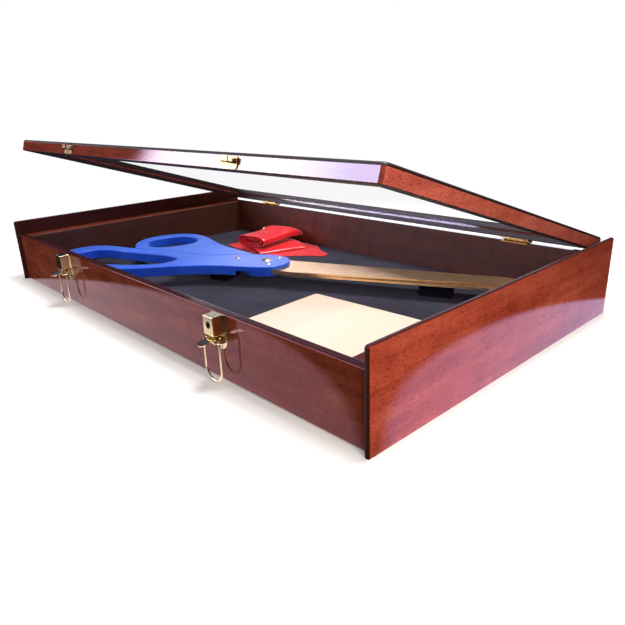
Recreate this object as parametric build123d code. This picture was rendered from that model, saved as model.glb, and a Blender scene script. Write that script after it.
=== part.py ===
from build123d import *
import os
from math import cos, sin, radians, sqrt

# Ceremonial scissors display case with its lid part open.
# Millimetres. X runs along the front, Y to the back, Z up. The origin is the
# middle of the underside that the case stands on.

# Case
case_width = 711.0
case_depth = 416.0
panel_height = 89.0
panel_thickness = 4.5
panel_corner_radius = 3.0
panel_edge_radius = 1.5
rail_set_back = 5.0
rail_thickness = 9.0
rail_bottom = 2.0
rail_top = 68.5
rail_edge_radius = 1.2
back_rail_rise = 2.0
side_rail_width = 24.0
base_thickness = 8.0
tongue_thickness = 5.0
tongue_depth = 4.0
lining_thickness = 5.0
lining_clearance = 0.5

# Lid
lid_side_gap = 8.0
lid_depth = 401.0
lid_thickness = 15.5
lid_rail_width = 14.0
lid_corner_radius = 5.0
lid_top_radius = 3.0
lid_lower_radius = 1.0
pane_thickness = 3.0
pane_height_in_rail = 5.5
pane_grip = 5.0
pane_edge_clearance = 1.0
lid_rest_angle = 17.3

# Hinges
hinge_inset = 101.0
hinge_width = 36.0
leaf_thickness = 1.4
leaf_space = 1.5
leaf_inset = 0.6
leaf_side_clearance = 0.3
knuckle_radius = 2.5
knuckle_relief = 0.3
knuckle_gap = 0.2
middle_knuckle = 11.8
hinge_pin_radius = 1.0
hinge_pin_clearance = 0.06
hinge_screw_spacing = 22.0
hinge_screw_length = 8.0

# Screws
screw_shank_radius = 1.1
screw_head_radius = 2.1
screw_cone_height = 1.0
pan_head_height = 0.9

# Latches, placed from the lid's sides and built outwards from the front rail
latch_inset = 171.0
plate_width = 22.0
plate_thickness = 1.2
plate_bottom = 33.0
plate_top = 67.8
lock_box_width = 15.6
lock_box_front = 12.8
lock_box_bottom = 49.5
lock_box_wall = 1.0
plug_radius = 3.4
plug_recess = 0.4
plug_clearance = 0.08
plug_length = 7.5
plug_height = 59.5
key_slot_width = 1.7
key_slot_length = 5.2
key_slot_turn = 35.0
key_slot_depth = 3.0
cam_length = 4.6
cam_width = 3.0
cam_thickness = 1.0
ear_gap = 17.0
ear_thickness = 1.0
ear_radius = 3.5
lever_pivot_out = 5.0
lever_pivot_height = 45.0
lever_pin_radius = 1.0
lever_pin_clearance = 0.06
lever_pin_overhang = 0.5
lever_side_gap = 0.4
lever_arm = 6.0
lever_rest_drop = 15.0
lever_cheek_thickness = 1.0
lever_cheek_radius = 2.4
lever_plate_height = 2.2
lever_plate_thickness = 1.2
lever_tab_width = 11.0
lever_tab_reach = 19.5
lever_tab_corner = 5.0
lever_back_reach = 2.4
bail_pin_radius = 1.6
bail_pin_reach = 9.0
bail_wire_radius = 1.0
bail_half_width = 12.3
bail_bend_radius = 2.0
bail_length = 39.0
bail_end_reach = 5.5
bail_clearance = 0.06
latch_screw_length = 7.0
latch_low_screw_height = 38.0
latch_high_screw_height = 64.0
latch_high_screw_spacing = 8.0

# Strikes on the lid's front rail, heights from the lid's underside
strike_width = 22.0
strike_bottom = 0.8
strike_height = 10.9
strike_thickness = 1.0
strike_end_radius = 3.0
strike_screw_spacing = 16.0
hook_width = 9.0
hook_floor = 7.0
hook_reach = 7.4
hook_lip = 11.0
hook_metal = 1.2

# Presentation plate on the lining
card_width = 203.0
card_depth = 152.0
card_thickness = 3.0
card_corner_radius = 5.0
card_side_margin = 37.5
card_front_margin = 51.3
card_turn = 3.5

# Scissors, their heights and their fasteners
scissors_turn = 22.3
handle_bottom = 28.0
handle_thickness = 13.0
handle_edge_radius = 1.2
half_gap = 0.1
blade_thickness = 2.8
step_clearance = 0.6
seam_gap = 0.5
pivot_shank_radius = 3.0
pivot_clearance = 0.08
pivot_head_radius = 7.0
pivot_head_height = 2.6
pivot_nut_radius = 6.0
pivot_nut_height = 1.6
pivot_slot_width = 1.4
pivot_slot_depth = 1.6
pivot_slot_turn = 50.0
rivet_radius = 1.8
rivet_head_radius = 3.6
rivet_head_height = 1.2
seat_gap = 0.1

# Ribbon, folded from a wide satin band
ribbon_cloth = 1.0
roll_turn = 8.0
roll_width = 64.0
roll_height = 20.0
roll_length = 98.0
fold_turn = -22.0
fold_width = 88.0
fold_height = 7.0
fold_length = 84.0
bead_radius = 2.5

# Worked-out places
half_width = case_width / 2
half_depth = case_depth / 2
inner_side = half_width - panel_thickness
front_face = -half_depth + rail_set_back
back_face = half_depth - rail_set_back
front_inside = front_face + rail_thickness
back_inside = back_face - rail_thickness
side_inside = inner_side - side_rail_width
tongue_bottom = base_thickness - tongue_thickness
back_rail_top = rail_top + back_rail_rise
lining_top = base_thickness + lining_thickness
hinge_axis_y = back_face + knuckle_radius
hinge_axis_z = rail_top + leaf_space
lid_bottom = hinge_axis_z + leaf_space
lid_top = lid_bottom + lid_thickness
lid_half_width = inner_side - lid_side_gap
lid_front = back_face - lid_depth
pane_bottom = lid_bottom + pane_height_in_rail
hinge_x = lid_half_width - hinge_inset
latch_x = lid_half_width - latch_inset
handle_top = handle_bottom + handle_thickness
handle_middle = (handle_bottom + handle_top) / 2
sides = {"left": -1, "right": 1}

os.makedirs("parts", exist_ok=True)
pieces = {}


def add(name, shape):
    pieces[name] = shape


def block(x0, x1, y0, y1, z0, z1):
    """A box between two corners."""
    return Pos((x0 + x1) / 2, (y0 + y1) / 2, (z0 + z1) / 2) * Box(x1 - x0, y1 - y0, z1 - z0)


def rod(start, end, radius):
    """A straight round bar between two points."""
    run = Vector(*end) - Vector(*start)
    return extrude(Plane(origin=start, z_dir=run) * Circle(radius), amount=run.length)


def dome(point, direction, radius, height):
    """A low round head: the cap of a ball, with its flat side on the point."""
    ball = (radius**2 + height**2) / (2 * height)
    seat = Plane(origin=point, z_dir=direction)
    cap = Pos(0, 0, height - ball) * Sphere(ball)
    keep = Pos(0, 0, height / 2) * Box(3 * radius, 3 * radius, height)
    return seat * (cap & keep)


def countersunk_screw(point, direction, length):
    """A flat-head screw, its head's face on the point and its shank along the direction."""
    seat = Plane(origin=point, z_dir=direction)
    cone_middle = screw_cone_height / 2
    head = Pos(0, 0, cone_middle) * Cone(screw_head_radius, screw_shank_radius, screw_cone_height)
    shank = Pos(0, 0, length / 2) * Cylinder(screw_shank_radius, length)
    return seat * (head + shank)


def pan_screw(point, direction, length):
    """A round-head screw, seated on the point, with its shank along the direction."""
    shank_end = Vector(*point) + Vector(*direction).normalized() * length
    back = Vector(*direction) * -1
    return rod(point, tuple(shank_end), screw_shank_radius) + dome(
        point, tuple(back), screw_head_radius, pan_head_height)


def open_lid(shape, angle=lid_rest_angle):
    """Turn a piece of the lid from level to its open angle, about the hinge pins."""
    return shape.rotate(Axis((0, hinge_axis_y, hinge_axis_z), (-1, 0, 0)), angle)


def outwards(x, out, height):
    """A point given by how far it stands out from the front rail's face."""
    return (x, front_face - out, height)


# Case: two thin side panels stand proud of the rails that they hold
def side_panel(side):
    profile = Plane.YZ * Pos(0, panel_height / 2) * Rectangle(case_depth, panel_height)
    profile = fillet(profile.vertices().sort_by(Axis.Z)[-2:], panel_corner_radius)
    panel = extrude(profile, amount=panel_thickness / 2, both=True)
    long_edges = [e for e in panel.edges() if abs(e.center().X) > panel_thickness / 2 - 0.1]
    long_edges = [e for e in long_edges if e.center().Z > panel_edge_radius]
    panel = fillet(long_edges, panel_edge_radius)
    return Pos(side * (half_width - panel_thickness / 2), 0, 0) * panel


def rail(x0, x1, y0, y1, top=rail_top):
    """A rail of the case, with eased top edges and the groove that holds the base's tongue."""
    body = block(x0, x1, y0, y1, rail_bottom, top)
    along = Axis.X if x1 - x0 > y1 - y0 else Axis.Y
    top_edges = body.edges().filter_by(along).group_by(Axis.Z)[-1]
    body = fillet(top_edges, rail_edge_radius)
    return body - tongue


tongue = block(-side_inside - tongue_depth, side_inside + tongue_depth,
               front_inside - tongue_depth, back_inside + tongue_depth,
               tongue_bottom, base_thickness)

for name, side in sides.items():
    add(f"side_panel_{name}", side_panel(side))
    x0, x1 = sorted((side * side_inside, side * inner_side))
    add(f"side_rail_{name}", rail(x0, x1, front_inside, back_inside))

front_rail = rail(-inner_side, inner_side, front_face, front_inside)
back_rail = rail(-inner_side, inner_side, back_inside, back_face, back_rail_top)
base = block(-side_inside, side_inside, front_inside, back_inside, 0, base_thickness) + tongue
add("base_board", base)
add("lining", block(-side_inside + lining_clearance, side_inside - lining_clearance,
                    front_inside + lining_clearance, back_inside - lining_clearance,
                    base_thickness, lining_top))


# Lid: a mitred frame round a pane held in its groove
def lid_frame():
    middle_y = (lid_front + back_face) / 2
    outer = Pos(0, middle_y, lid_bottom) * extrude(
        RectangleRounded(2 * lid_half_width, lid_depth, lid_corner_radius), amount=lid_thickness)
    outer = fillet(outer.edges().group_by(Axis.Z)[-1], lid_top_radius)
    outer = fillet(outer.edges().group_by(Axis.Z)[0], lid_lower_radius)
    open_x = lid_half_width - lid_rail_width
    opening = block(-open_x, open_x, lid_front + lid_rail_width, back_face - lid_rail_width,
                    lid_bottom - 1, lid_top + 1)
    grip = pane_grip + pane_edge_clearance
    groove = block(-open_x - grip, open_x + grip, lid_front + lid_rail_width - grip,
                   back_face - lid_rail_width + grip, pane_bottom, pane_bottom + pane_thickness)
    return outer - opening - groove


def mitre_wedge(corners):
    """The piece of space that one rail keeps when the frame is cut at its mitres."""
    face = make_face(Polyline(*corners, close=True))
    return Pos(0, 0, lid_bottom - 1) * extrude(face, amount=lid_thickness + 2)


frame = lid_frame()
left, right = -lid_half_width - 1, lid_half_width + 1
near, far = lid_front - 1, back_face + 1
reach = lid_rail_width + 30
wedges = {
    "lid_front_rail": [(left, near), (right, near), (right - reach, near + reach), (left + reach, near + reach)],
    "lid_back_rail": [(left, far), (right, far), (right - reach, far - reach), (left + reach, far - reach)],
    "lid_side_rail_left": [(left, near), (left + reach, near + reach), (left + reach, far - reach), (left, far)],
    "lid_side_rail_right": [(right, near), (right - reach, near + reach), (right - reach, far - reach), (right, far)],
}
lid_rails = {name: frame & mitre_wedge(corners) for name, corners in wedges.items()}
pane_half = lid_half_width - lid_rail_width + pane_grip
pane = block(-pane_half, pane_half, lid_front + lid_rail_width - pane_grip,
             back_face - lid_rail_width + pane_grip, pane_bottom, pane_bottom + pane_thickness)
add("lid_pane", open_lid(pane))


# Hinges: small butt hinges with their knuckles outside. The case's leaf is let into
# the back rail, which stands higher than the other rails to close the gap under the lid.
def knuckle(x0, x1, bore):
    start = (x0, hinge_axis_y, hinge_axis_z)
    end = (x1, hinge_axis_y, hinge_axis_z)
    return rod(start, end, knuckle_radius), rod(start, end, bore)


def leaf(x, spans, z0, z1, bore):
    """A leaf between two heights, with a knuckle over each span of its width."""
    inner = back_inside + leaf_inset
    plate = block(x - hinge_width / 2, x + hinge_width / 2, inner, back_face - knuckle_relief, z0, z1)
    bores = []
    for a, b in spans:
        plate += block(x + a, x + b, back_face - 1, hinge_axis_y, z0, z1)
        barrel, hole = knuckle(x + a, x + b, bore)
        plate += barrel
        bores.append(hole)
    for hole in bores:
        plate -= hole
    return plate


screw_y = (back_inside + leaf_inset + back_face) / 2
case_leaf_screws = []
lid_leaf_screws = []
outer_spans = [(-hinge_width / 2, -middle_knuckle / 2 - knuckle_gap),
               (middle_knuckle / 2 + knuckle_gap, hinge_width / 2)]
middle_span = [(-middle_knuckle / 2, middle_knuckle / 2)]
for name, side in sides.items():
    x = side * hinge_x
    seat_half = hinge_width / 2 + leaf_side_clearance
    back_rail -= block(x - seat_half, x + seat_half, back_inside - 1, back_face + 1, rail_top, back_rail_top + 1)
    lower = leaf(x, outer_spans, rail_top, rail_top + leaf_thickness, hinge_pin_radius)
    upper = leaf(x, middle_span, lid_bottom - leaf_thickness, lid_bottom,
                 hinge_pin_radius + hinge_pin_clearance)
    for dx in (-hinge_screw_spacing / 2, hinge_screw_spacing / 2):
        down = countersunk_screw((x + dx, screw_y, rail_top + leaf_thickness), (0, 0, -1), hinge_screw_length)
        up = countersunk_screw((x + dx, screw_y, lid_bottom - leaf_thickness), (0, 0, 1), hinge_screw_length)
        case_leaf_screws.append(down)
        lid_leaf_screws.append(up)
        lower -= down
        upper -= up
        back_rail -= down
        lid_rails["lid_back_rail"] -= up
    add(f"case_hinge_leaf_{name}", lower)
    add(f"lid_hinge_leaf_{name}", open_lid(upper))
    add(f"hinge_pin_{name}", rod((x - hinge_width / 2, hinge_axis_y, hinge_axis_z),
                                 (x + hinge_width / 2, hinge_axis_y, hinge_axis_z), hinge_pin_radius))
add("back_rail", back_rail)
add("case_hinge_screws", Compound(case_leaf_screws))


# Latches: a plate with a key lock, a folding lever and the bail that it draws down
def lever_place(along, above):
    """Out and up position of a point of the lever at rest, from its pivot."""
    drop = radians(lever_rest_drop)
    out = lever_pivot_out + along * cos(drop) + above * sin(drop)
    height = lever_pivot_height - along * sin(drop) + above * cos(drop)
    return out, height


bail_out, bail_height = lever_place(lever_arm, 0)
lever_half = ear_gap / 2 - lever_side_gap


def latch_plate(x):
    middle = plate_bottom + plate_width / 2
    face = Pos(0, (middle + plate_top) / 2) * Rectangle(plate_width, plate_top - middle)
    face += Pos(0, middle) * Circle(plate_width / 2)
    plate = extrude(Plane(origin=(x, front_face, 0), x_dir=(1, 0, 0), z_dir=(0, -1, 0)) * face,
                    amount=plate_thickness)
    for side in (-1, 1):
        inner = x + side * ear_gap / 2
        outer = inner + side * ear_thickness
        x0, x1 = sorted((inner, outer))
        ear = rod(outwards(x0, lever_pivot_out, lever_pivot_height),
                  outwards(x1, lever_pivot_out, lever_pivot_height), ear_radius)
        ear += block(x0, x1, front_face - lever_pivot_out, front_face - plate_thickness / 2,
                     lever_pivot_height - ear_radius, lever_pivot_height + ear_radius)
        plate += ear
    return plate


def lock_box(x):
    half = lock_box_width / 2
    shell = block(x - half, x + half, front_face - lock_box_front, front_face - plate_thickness,
                  lock_box_bottom, plate_top)
    rims = [e for e in shell.edges() if e.center().Y < front_face - plate_thickness - 0.1]
    shell = fillet(rims, lock_box_wall * 0.7)
    inner = half - lock_box_wall
    shell -= block(x - inner, x + inner, front_face - lock_box_front + lock_box_wall,
                   front_face - plate_thickness + 0.1, lock_box_bottom + lock_box_wall,
                   plate_top - lock_box_wall)
    bore = rod(outwards(x, lock_box_front - 2 * lock_box_wall, plug_height),
               outwards(x, lock_box_front + 1, plug_height), plug_radius + plug_clearance)
    return shell - bore


def lock_plug(x):
    plug_face = lock_box_front - plug_recess
    front = outwards(x, plug_face, plug_height)
    back = outwards(x, lock_box_front - plug_length, plug_height)
    plug = rod(back, front, plug_radius)
    cam_out = lock_box_front - plug_length
    plug += block(x - cam_width / 2, x + cam_width / 2, front_face - cam_out,
                  front_face - cam_out + cam_thickness, plug_height, plug_height + cam_length)
    slot = block(-key_slot_width / 2, key_slot_width / 2, -1, key_slot_depth,
                 -key_slot_length / 2, key_slot_length / 2)
    return plug - Pos(*front) * Rot(0, key_slot_turn, 0) * slot


def latch_lever(x):
    """Two cheeks on the lever pin, joined by the flap that a thumb pushes down."""
    drop = lever_rest_drop
    flap = Plane.XY * Rectangle(2 * lever_half, lever_arm + lever_back_reach, align=(Align.CENTER, Align.MIN))
    flap = Pos(0, -lever_back_reach) * flap
    tab = Rectangle(lever_tab_width, lever_tab_reach, align=(Align.CENTER, Align.MIN))
    tab = fillet(tab.vertices().group_by(Axis.Y)[-1], lever_tab_corner)
    sheet = extrude(flap + tab, amount=lever_plate_thickness)
    sheet = Pos(0, 0, lever_plate_height) * sheet
    for side in (-1, 1):
        x0, x1 = sorted((side * lever_half, side * (lever_half - lever_cheek_thickness)))
        cheek = rod((x0, 0, 0), (x1, 0, 0), lever_cheek_radius)
        cheek += rod((x0, lever_arm, 0), (x1, lever_arm, 0), lever_cheek_radius)
        cheek += block(x0, x1, 0, lever_arm, -lever_cheek_radius, lever_plate_height)
        cheek += block(x0, x1, -lever_cheek_radius, lever_arm + lever_cheek_radius, 0, lever_plate_height)
        sheet += cheek
    sheet -= rod((-lever_half - 1, 0, 0), (lever_half + 1, 0, 0), lever_pin_radius + lever_pin_clearance)
    sheet -= rod((-lever_half - 1, lever_arm, 0), (lever_half + 1, lever_arm, 0),
                 bail_pin_radius + bail_clearance)
    # drawn with Y as the lever's reach, then turned to point out of the front and drop
    turned = sheet.rotate(Axis.Z, 180).rotate(Axis.X, drop)
    return Pos(x, front_face - lever_pivot_out, lever_pivot_height) * turned


def bail_pin(x):
    start = outwards(x - bail_pin_reach, bail_out, bail_height)
    end = outwards(x + bail_pin_reach, bail_out, bail_height)
    pin = rod(start, end, bail_pin_radius)
    for side in (-1, 1):
        mouth = outwards(x + side * (bail_pin_reach + 1), bail_out, bail_height)
        seat = outwards(x + side * bail_end_reach, bail_out, bail_height)
        pin -= rod(mouth, seat, bail_wire_radius + bail_clearance)
    return pin


def bail(x):
    """A wire loop: both ends turned in to the pin, round at its lower end."""
    y = front_face - bail_out
    w, top, low = bail_half_width, bail_height, bail_height - bail_length + bail_half_width
    bend = bail_bend_radius
    near = bail_end_reach + 0.2
    bulge = bend * (1 - cos(radians(45)))
    path = Line((x - near, y, top), (x - w + bend, y, top))
    path += ThreePointArc((x - w + bend, y, top), (x - w + bulge, y, top - bulge), (x - w, y, top - bend))
    path += Line((x - w, y, top - bend), (x - w, y, low))
    path += ThreePointArc((x - w, y, low), (x, y, low - w), (x + w, y, low))
    path += Line((x + w, y, low), (x + w, y, top - bend))
    path += ThreePointArc((x + w, y, top - bend), (x + w - bulge, y, top - bulge), (x + w - bend, y, top))
    path += Line((x + w - bend, y, top), (x + near, y, top))
    section = Plane(origin=(x - near, y, top), z_dir=(-1, 0, 0)) * Circle(bail_wire_radius)
    return sweep(section, path=path)


latch_screws = []
for name, side in sides.items():
    x = side * latch_x
    plate = latch_plate(x)
    screws = [pan_screw(outwards(x, plate_thickness, latch_low_screw_height), (0, 1, 0), latch_screw_length)]
    for dx in (-latch_high_screw_spacing / 2, latch_high_screw_spacing / 2):
        screws.append(pan_screw(outwards(x + dx, plate_thickness, latch_high_screw_height),
                                (0, 1, 0), latch_screw_length))
    for screw in screws:
        plate -= screw
        front_rail -= screw
    latch_screws += screws
    add(f"latch_plate_{name}", plate)
    add(f"lock_box_{name}", lock_box(x))
    add(f"lock_plug_{name}", lock_plug(x))
    add(f"latch_lever_{name}", latch_lever(x))
    pin_end = ear_gap / 2 + ear_thickness + lever_pin_overhang
    add(f"lever_pin_{name}", rod(outwards(x - pin_end, lever_pivot_out, lever_pivot_height),
                                 outwards(x + pin_end, lever_pivot_out, lever_pivot_height), lever_pin_radius))
    pieces[f"latch_plate_{name}"] -= pieces[f"lever_pin_{name}"]
    add(f"bail_pin_{name}", bail_pin(x))
    add(f"bail_{name}", bail(x))
add("front_rail", front_rail)
add("latch_screws", Compound(latch_screws))


# Strikes: hooked plates on the lid's front rail that the bails pull on
def strike(x):
    y = lid_front
    face = Pos(0, strike_bottom + strike_height / 2) * RectangleRounded(
        strike_width, strike_height, strike_end_radius)
    plate = extrude(Plane(origin=(x, y, lid_bottom), x_dir=(1, 0, 0), z_dir=(0, -1, 0)) * face,
                    amount=strike_thickness)
    floor = lid_bottom + hook_floor
    hook = block(x - hook_width / 2, x + hook_width / 2, y - hook_reach, y, floor - hook_metal, floor)
    hook += block(x - hook_width / 2, x + hook_width / 2, y - hook_reach, y - hook_reach + hook_metal,
                  floor - hook_metal, lid_bottom + hook_lip)
    lower_edge = hook.edges().filter_by(Axis.X).sort_by(lambda e: e.center().Y + e.center().Z)[0]
    hook = fillet(lower_edge, hook_metal * 0.8)
    return plate + hook


strike_screws = []
for name, side in sides.items():
    x = side * latch_x
    plate = strike(x)
    for dx in (-strike_screw_spacing / 2, strike_screw_spacing / 2):
        screw = pan_screw((x + dx, lid_front - strike_thickness, lid_bottom + lid_thickness / 2),
                          (0, 1, 0), latch_screw_length)
        plate -= screw
        lid_rails["lid_front_rail"] -= screw
        strike_screws.append(screw)
    add(f"strike_{name}", open_lid(plate))
for name, shape in lid_rails.items():
    add(name, open_lid(shape))
add("strike_screws", open_lid(Compound(strike_screws)))
add("lid_hinge_screws", open_lid(Compound(lid_leaf_screws)))


# Presentation plate: bare, lying on the lining at the front right
card = extrude(RectangleRounded(card_width, card_depth, card_corner_radius), amount=card_thickness)
card = fillet(card.edges().group_by(Axis.Z)[-1], card_thickness * 0.3)
card_x = side_inside - card_side_margin - card_width / 2
card_y = front_inside + card_front_margin + card_depth / 2
add("presentation_plate", Pos(card_x, card_y, lining_top) * Rot(0, 0, card_turn) * card)


# Scissors: two halves that cross at the pivot, loops of full thickness.
# Their outlines are drawn in their own frame, U from the pivot to the tip and V to the
# back, for a case that is 654 by 388 inside, and are fitted to the inside of this one.
fit = min(side_inside / 327, back_inside / 194)


def fitted(*points):
    return [(u * fit, v * fit) for u, v in points]


pivot_place = (-20.7 * fit, 7.8 * fit)
blade_tip = 350 * fit
step_radius = 47.5 * fit
crossing_centre = (2 * fit, -4 * fit)
crossing_radius = 32 * fit
upper_rivet_places = fitted((12, -17), (11, 17), (-45, -1))
lower_rivet_places = fitted((12, -17), (13, 9), (-26, 0))


def lay(shape):
    """Put a piece drawn in the scissors' own frame in its place in the case."""
    return Pos(pivot_place[0], pivot_place[1], 0) * Rot(0, 0, scissors_turn) * shape


def slab(face, z0, z1):
    return Pos(0, 0, z0) * extrude(face, amount=z1 - z0)


def closed_curve(*points):
    return make_face(Spline(*fitted(*points), periodic=True))


def open_curve(*points):
    return Spline(*fitted(*points))


def open_line(*points):
    return Polyline(*fitted(*points))


def eased(handle):
    """Round a handle along its outline and its hole, which are its two longest edges, top and bottom."""
    levels = handle.edges().group_by(Axis.Z)
    curves = [e for level in (levels[0], levels[-1]) for e in level.sort_by(lambda e: e.length)[-2:]]
    return fillet(curves, handle_edge_radius)


# The large loop's half, for the fingers; its back edge is the seam between the two halves
front_outline = closed_curve(
    (-228, 4), (-190, 7), (-150, 8), (-106, -1), (-73, 9), (-36, 23), (-5, 29), (23, 20), (35, -2),
    (27, -27), (4, -37), (-40, -43), (-100, -63), (-160, -95), (-215, -108), (-270, -100),
    (-312, -72), (-325, -30), (-310, -3), (-270, 6))
finger_hole = closed_curve(
    (-294, -42), (-280, -22), (-223, -19), (-160, -20), (-127, -32),
    (-129, -52), (-160, -74), (-206, -84), (-250, -82), (-285, -64))

# The small loop's half, for the thumb
thumb_edge = open_curve((-36, 27), (-66, 40), (-106, 59), (-136, 80), (-165, 102), (-202, 116),
                        (-240, 101), (-259, 64), (-252, 32), (-226, 2))
thumb_inside = open_line((-226, 2), (-190, -2), (-106, -10), (-50, 5), (-36, 27))
thumb_outline = make_face(thumb_edge + thumb_inside)
thumb_hole = closed_curve((-234, 36), (-236, 66), (-206, 93), (-176, 88), (-163, 66), (-177, 35), (-205, 18))

# What passes under the other half at the pivot
crossing_neck = make_face(Polyline(*fitted((-44, 26), (-30, 28), (-5, 29), (-5, -30), (-38, 12)), close=True))
crossing_face = (Pos(*crossing_centre) * Circle(crossing_radius)) + crossing_neck

upper_level = handle_middle + half_gap / 2
lower_level = handle_middle - half_gap / 2
upper_blade_top = upper_level + blade_thickness
lower_blade_bottom = lower_level - blade_thickness


def tang(u0, u1):
    """The flat end of a blade that is held between or in the handles."""
    half = 11 * fit
    return make_face(Polyline((u0, -half), (u1, -half), (u1, half), (u0, half), close=True))


def upper_blade_face():
    """Straight spine at the back, edge tapering from the front, rounded to the tip."""
    outline = open_line((-20, -12), (22, -30), (54, -33), (312, -7))
    outline += Spline(*fitted((312, -7), (340, 0)), (blade_tip, 9 * fit), *fitted((335, 19), (300, 23.5)))
    outline += open_line((300, 23.5), (28, 20), (-20, 12), (-20, -12))
    return make_face(outline) + tang(-60 * fit, -18 * fit)


def lower_blade_face():
    """The mate of the upper blade: its spine shows in front of the upper one's edge."""
    outline = open_line((-20, 12), (28, 16), (60, 18), (296, 13))
    outline += open_curve((296, 13), (336, 6), (348, -3), (332, -13), (300, -17))
    outline += open_line((300, -17), (60, -31), (26, -30), (-20, -12), (-20, 12))
    return make_face(outline) + tang(-40 * fit, -18 * fit)


upper_blade = slab(upper_blade_face(), upper_level, upper_blade_top)
lower_blade = slab(lower_blade_face(), lower_blade_bottom, lower_level)
recess = slab(Circle(step_radius + step_clearance), handle_bottom - 1, upper_level)
seam = slab(Pos(0, seam_gap) * front_outline, handle_bottom - 1, handle_top + 1)

finger_half = eased(slab(front_outline - finger_hole, handle_bottom, handle_top))
finger_half = finger_half - recess - upper_blade
thumb_half = eased(slab(thumb_outline - thumb_hole, handle_bottom, handle_top)) - seam
thumb_half = thumb_half + slab(crossing_face, handle_bottom, lower_level) - lower_blade

pivot_bore = rod((0, 0, 0), (0, 0, 2 * handle_top), pivot_shank_radius + pivot_clearance)
nut_top = handle_bottom - half_gap
nut_bottom = nut_top - pivot_nut_height
head_top = handle_top + pivot_head_height
pivot_shank = rod((0, 0, nut_bottom), (0, 0, handle_top), pivot_shank_radius)
pivot_screw = pivot_shank + dome((0, 0, handle_top), (0, 0, 1), pivot_head_radius, pivot_head_height)
pivot_slot = block(-pivot_head_radius, pivot_head_radius, -pivot_slot_width / 2, pivot_slot_width / 2,
                   head_top - pivot_slot_depth, head_top + 1)
pivot_screw -= Rot(0, 0, pivot_slot_turn) * pivot_slot
pivot_nut = rod((0, 0, nut_bottom), (0, 0, nut_top), pivot_nut_radius) - pivot_shank

upper_rivets = []
lower_rivets = []
for u, v in upper_rivet_places:
    rivet = rod((u, v, upper_level), (u, v, handle_top), rivet_radius)
    rivet += dome((u, v, handle_top), (0, 0, 1), rivet_head_radius, rivet_head_height)
    upper_rivets.append(rivet)
    finger_half -= rivet
    upper_blade -= rivet
for u, v in lower_rivet_places:
    rivet = rod((u, v, handle_bottom), (u, v, lower_level), rivet_radius)
    rivet += dome((u, v, handle_bottom), (0, 0, -1), rivet_head_radius, rivet_head_height)
    lower_rivets.append(rivet)
    thumb_half -= rivet
    lower_blade -= rivet
finger_half -= pivot_shank
upper_blade -= pivot_shank
thumb_half -= pivot_bore
lower_blade -= pivot_bore

add("scissors_finger_handle", lay(finger_half))
add("scissors_upper_blade", lay(upper_blade))
add("scissors_upper_rivets", lay(Compound(upper_rivets)))
add("scissors_thumb_handle", lay(thumb_half))
add("scissors_lower_blade", lay(lower_blade))
add("scissors_lower_rivets", lay(Compound(lower_rivets)))
add("scissors_pivot_screw", lay(pivot_screw))
add("scissors_pivot_nut", lay(pivot_nut))


def support(near_corner, far_corner, top):
    (u0, v0), (u1, v1) = fitted(near_corner, far_corner)
    return lay(block(u0, u1, v0, v1, lining_top, top))


add("handle_support", support((-77, -25), (-51, 9), handle_bottom - seat_gap))
add("blade_support", support((215, -4), (255, 10), lower_blade_bottom - seat_gap))


# Ribbon: a tail on the lining, a low fold and a flattened roll on top of it.
# Its places are given from the inside of the left side rail and of the back rail.
def band_loop(width, height, length, cloth):
    """A flat tube of cloth: the outline of a stadium, run along the band's width."""
    outer = SlotOverall(width, height)
    inner = SlotOverall(width - 2 * cloth, height - 2 * cloth)
    tube = extrude(Plane.XZ * (outer - inner), amount=length / 2, both=True)
    return Pos(0, 0, height / 2) * tube


def in_back_corner(from_side, from_back):
    return -side_inside + from_side * fit, back_inside - from_back * fit


tail_corners = [(88, 106), (138, 108), (227, 80), (276, 41), (227, 9), (149, 4), (95, 34)]
tail_outline = Polyline(*[in_back_corner(*corner) for corner in tail_corners], close=True)
add("ribbon_tail", slab(make_face(tail_outline), lining_top, lining_top + ribbon_cloth))

fold_bottom = lining_top + ribbon_cloth
fold_x, fold_y = in_back_corner(167, 58)
fold = band_loop(fold_width, fold_height, fold_length, ribbon_cloth)
add("ribbon_fold", Pos(fold_x, fold_y, fold_bottom) * Rot(0, 0, fold_turn) * fold)

roll_bottom = fold_bottom + fold_height
roll_x, roll_y = in_back_corner(156, 54)
roll = band_loop(roll_width, roll_height, roll_length, ribbon_cloth)
add("ribbon_roll", Pos(roll_x, roll_y, roll_bottom) * Rot(0, 0, roll_turn) * roll)

bead_x, bead_y = in_back_corner(140, 56)
bead_side = 4 * bead_radius
bead = Sphere(bead_radius) & Pos(0, 0, bead_radius) * Box(bead_side, bead_side, 2 * bead_radius)
add("ribbon_bead", Pos(bead_x, bead_y, roll_bottom + roll_height) * bead)

for name, shape in pieces.items():
    export_step(shape, f"parts/{name}.step")
print(len(pieces), "pieces written")
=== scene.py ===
# %% [markdown]
# # A display case for ceremonial scissors
# A shallow case of lacquered mahogany with a glazed lid. It holds a large pair of
# scissors for a ribbon cutting, a bare cream plate and a folded red ribbon. The case,
# the lid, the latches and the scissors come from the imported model, so this script
# gives them their finishes, makes the satin ribbon, and sets up a small studio.

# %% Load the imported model
from math import copysign, cos, exp, pi, radians, sin

import bmesh
import bpy
from mathutils import Matrix, Vector


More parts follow.
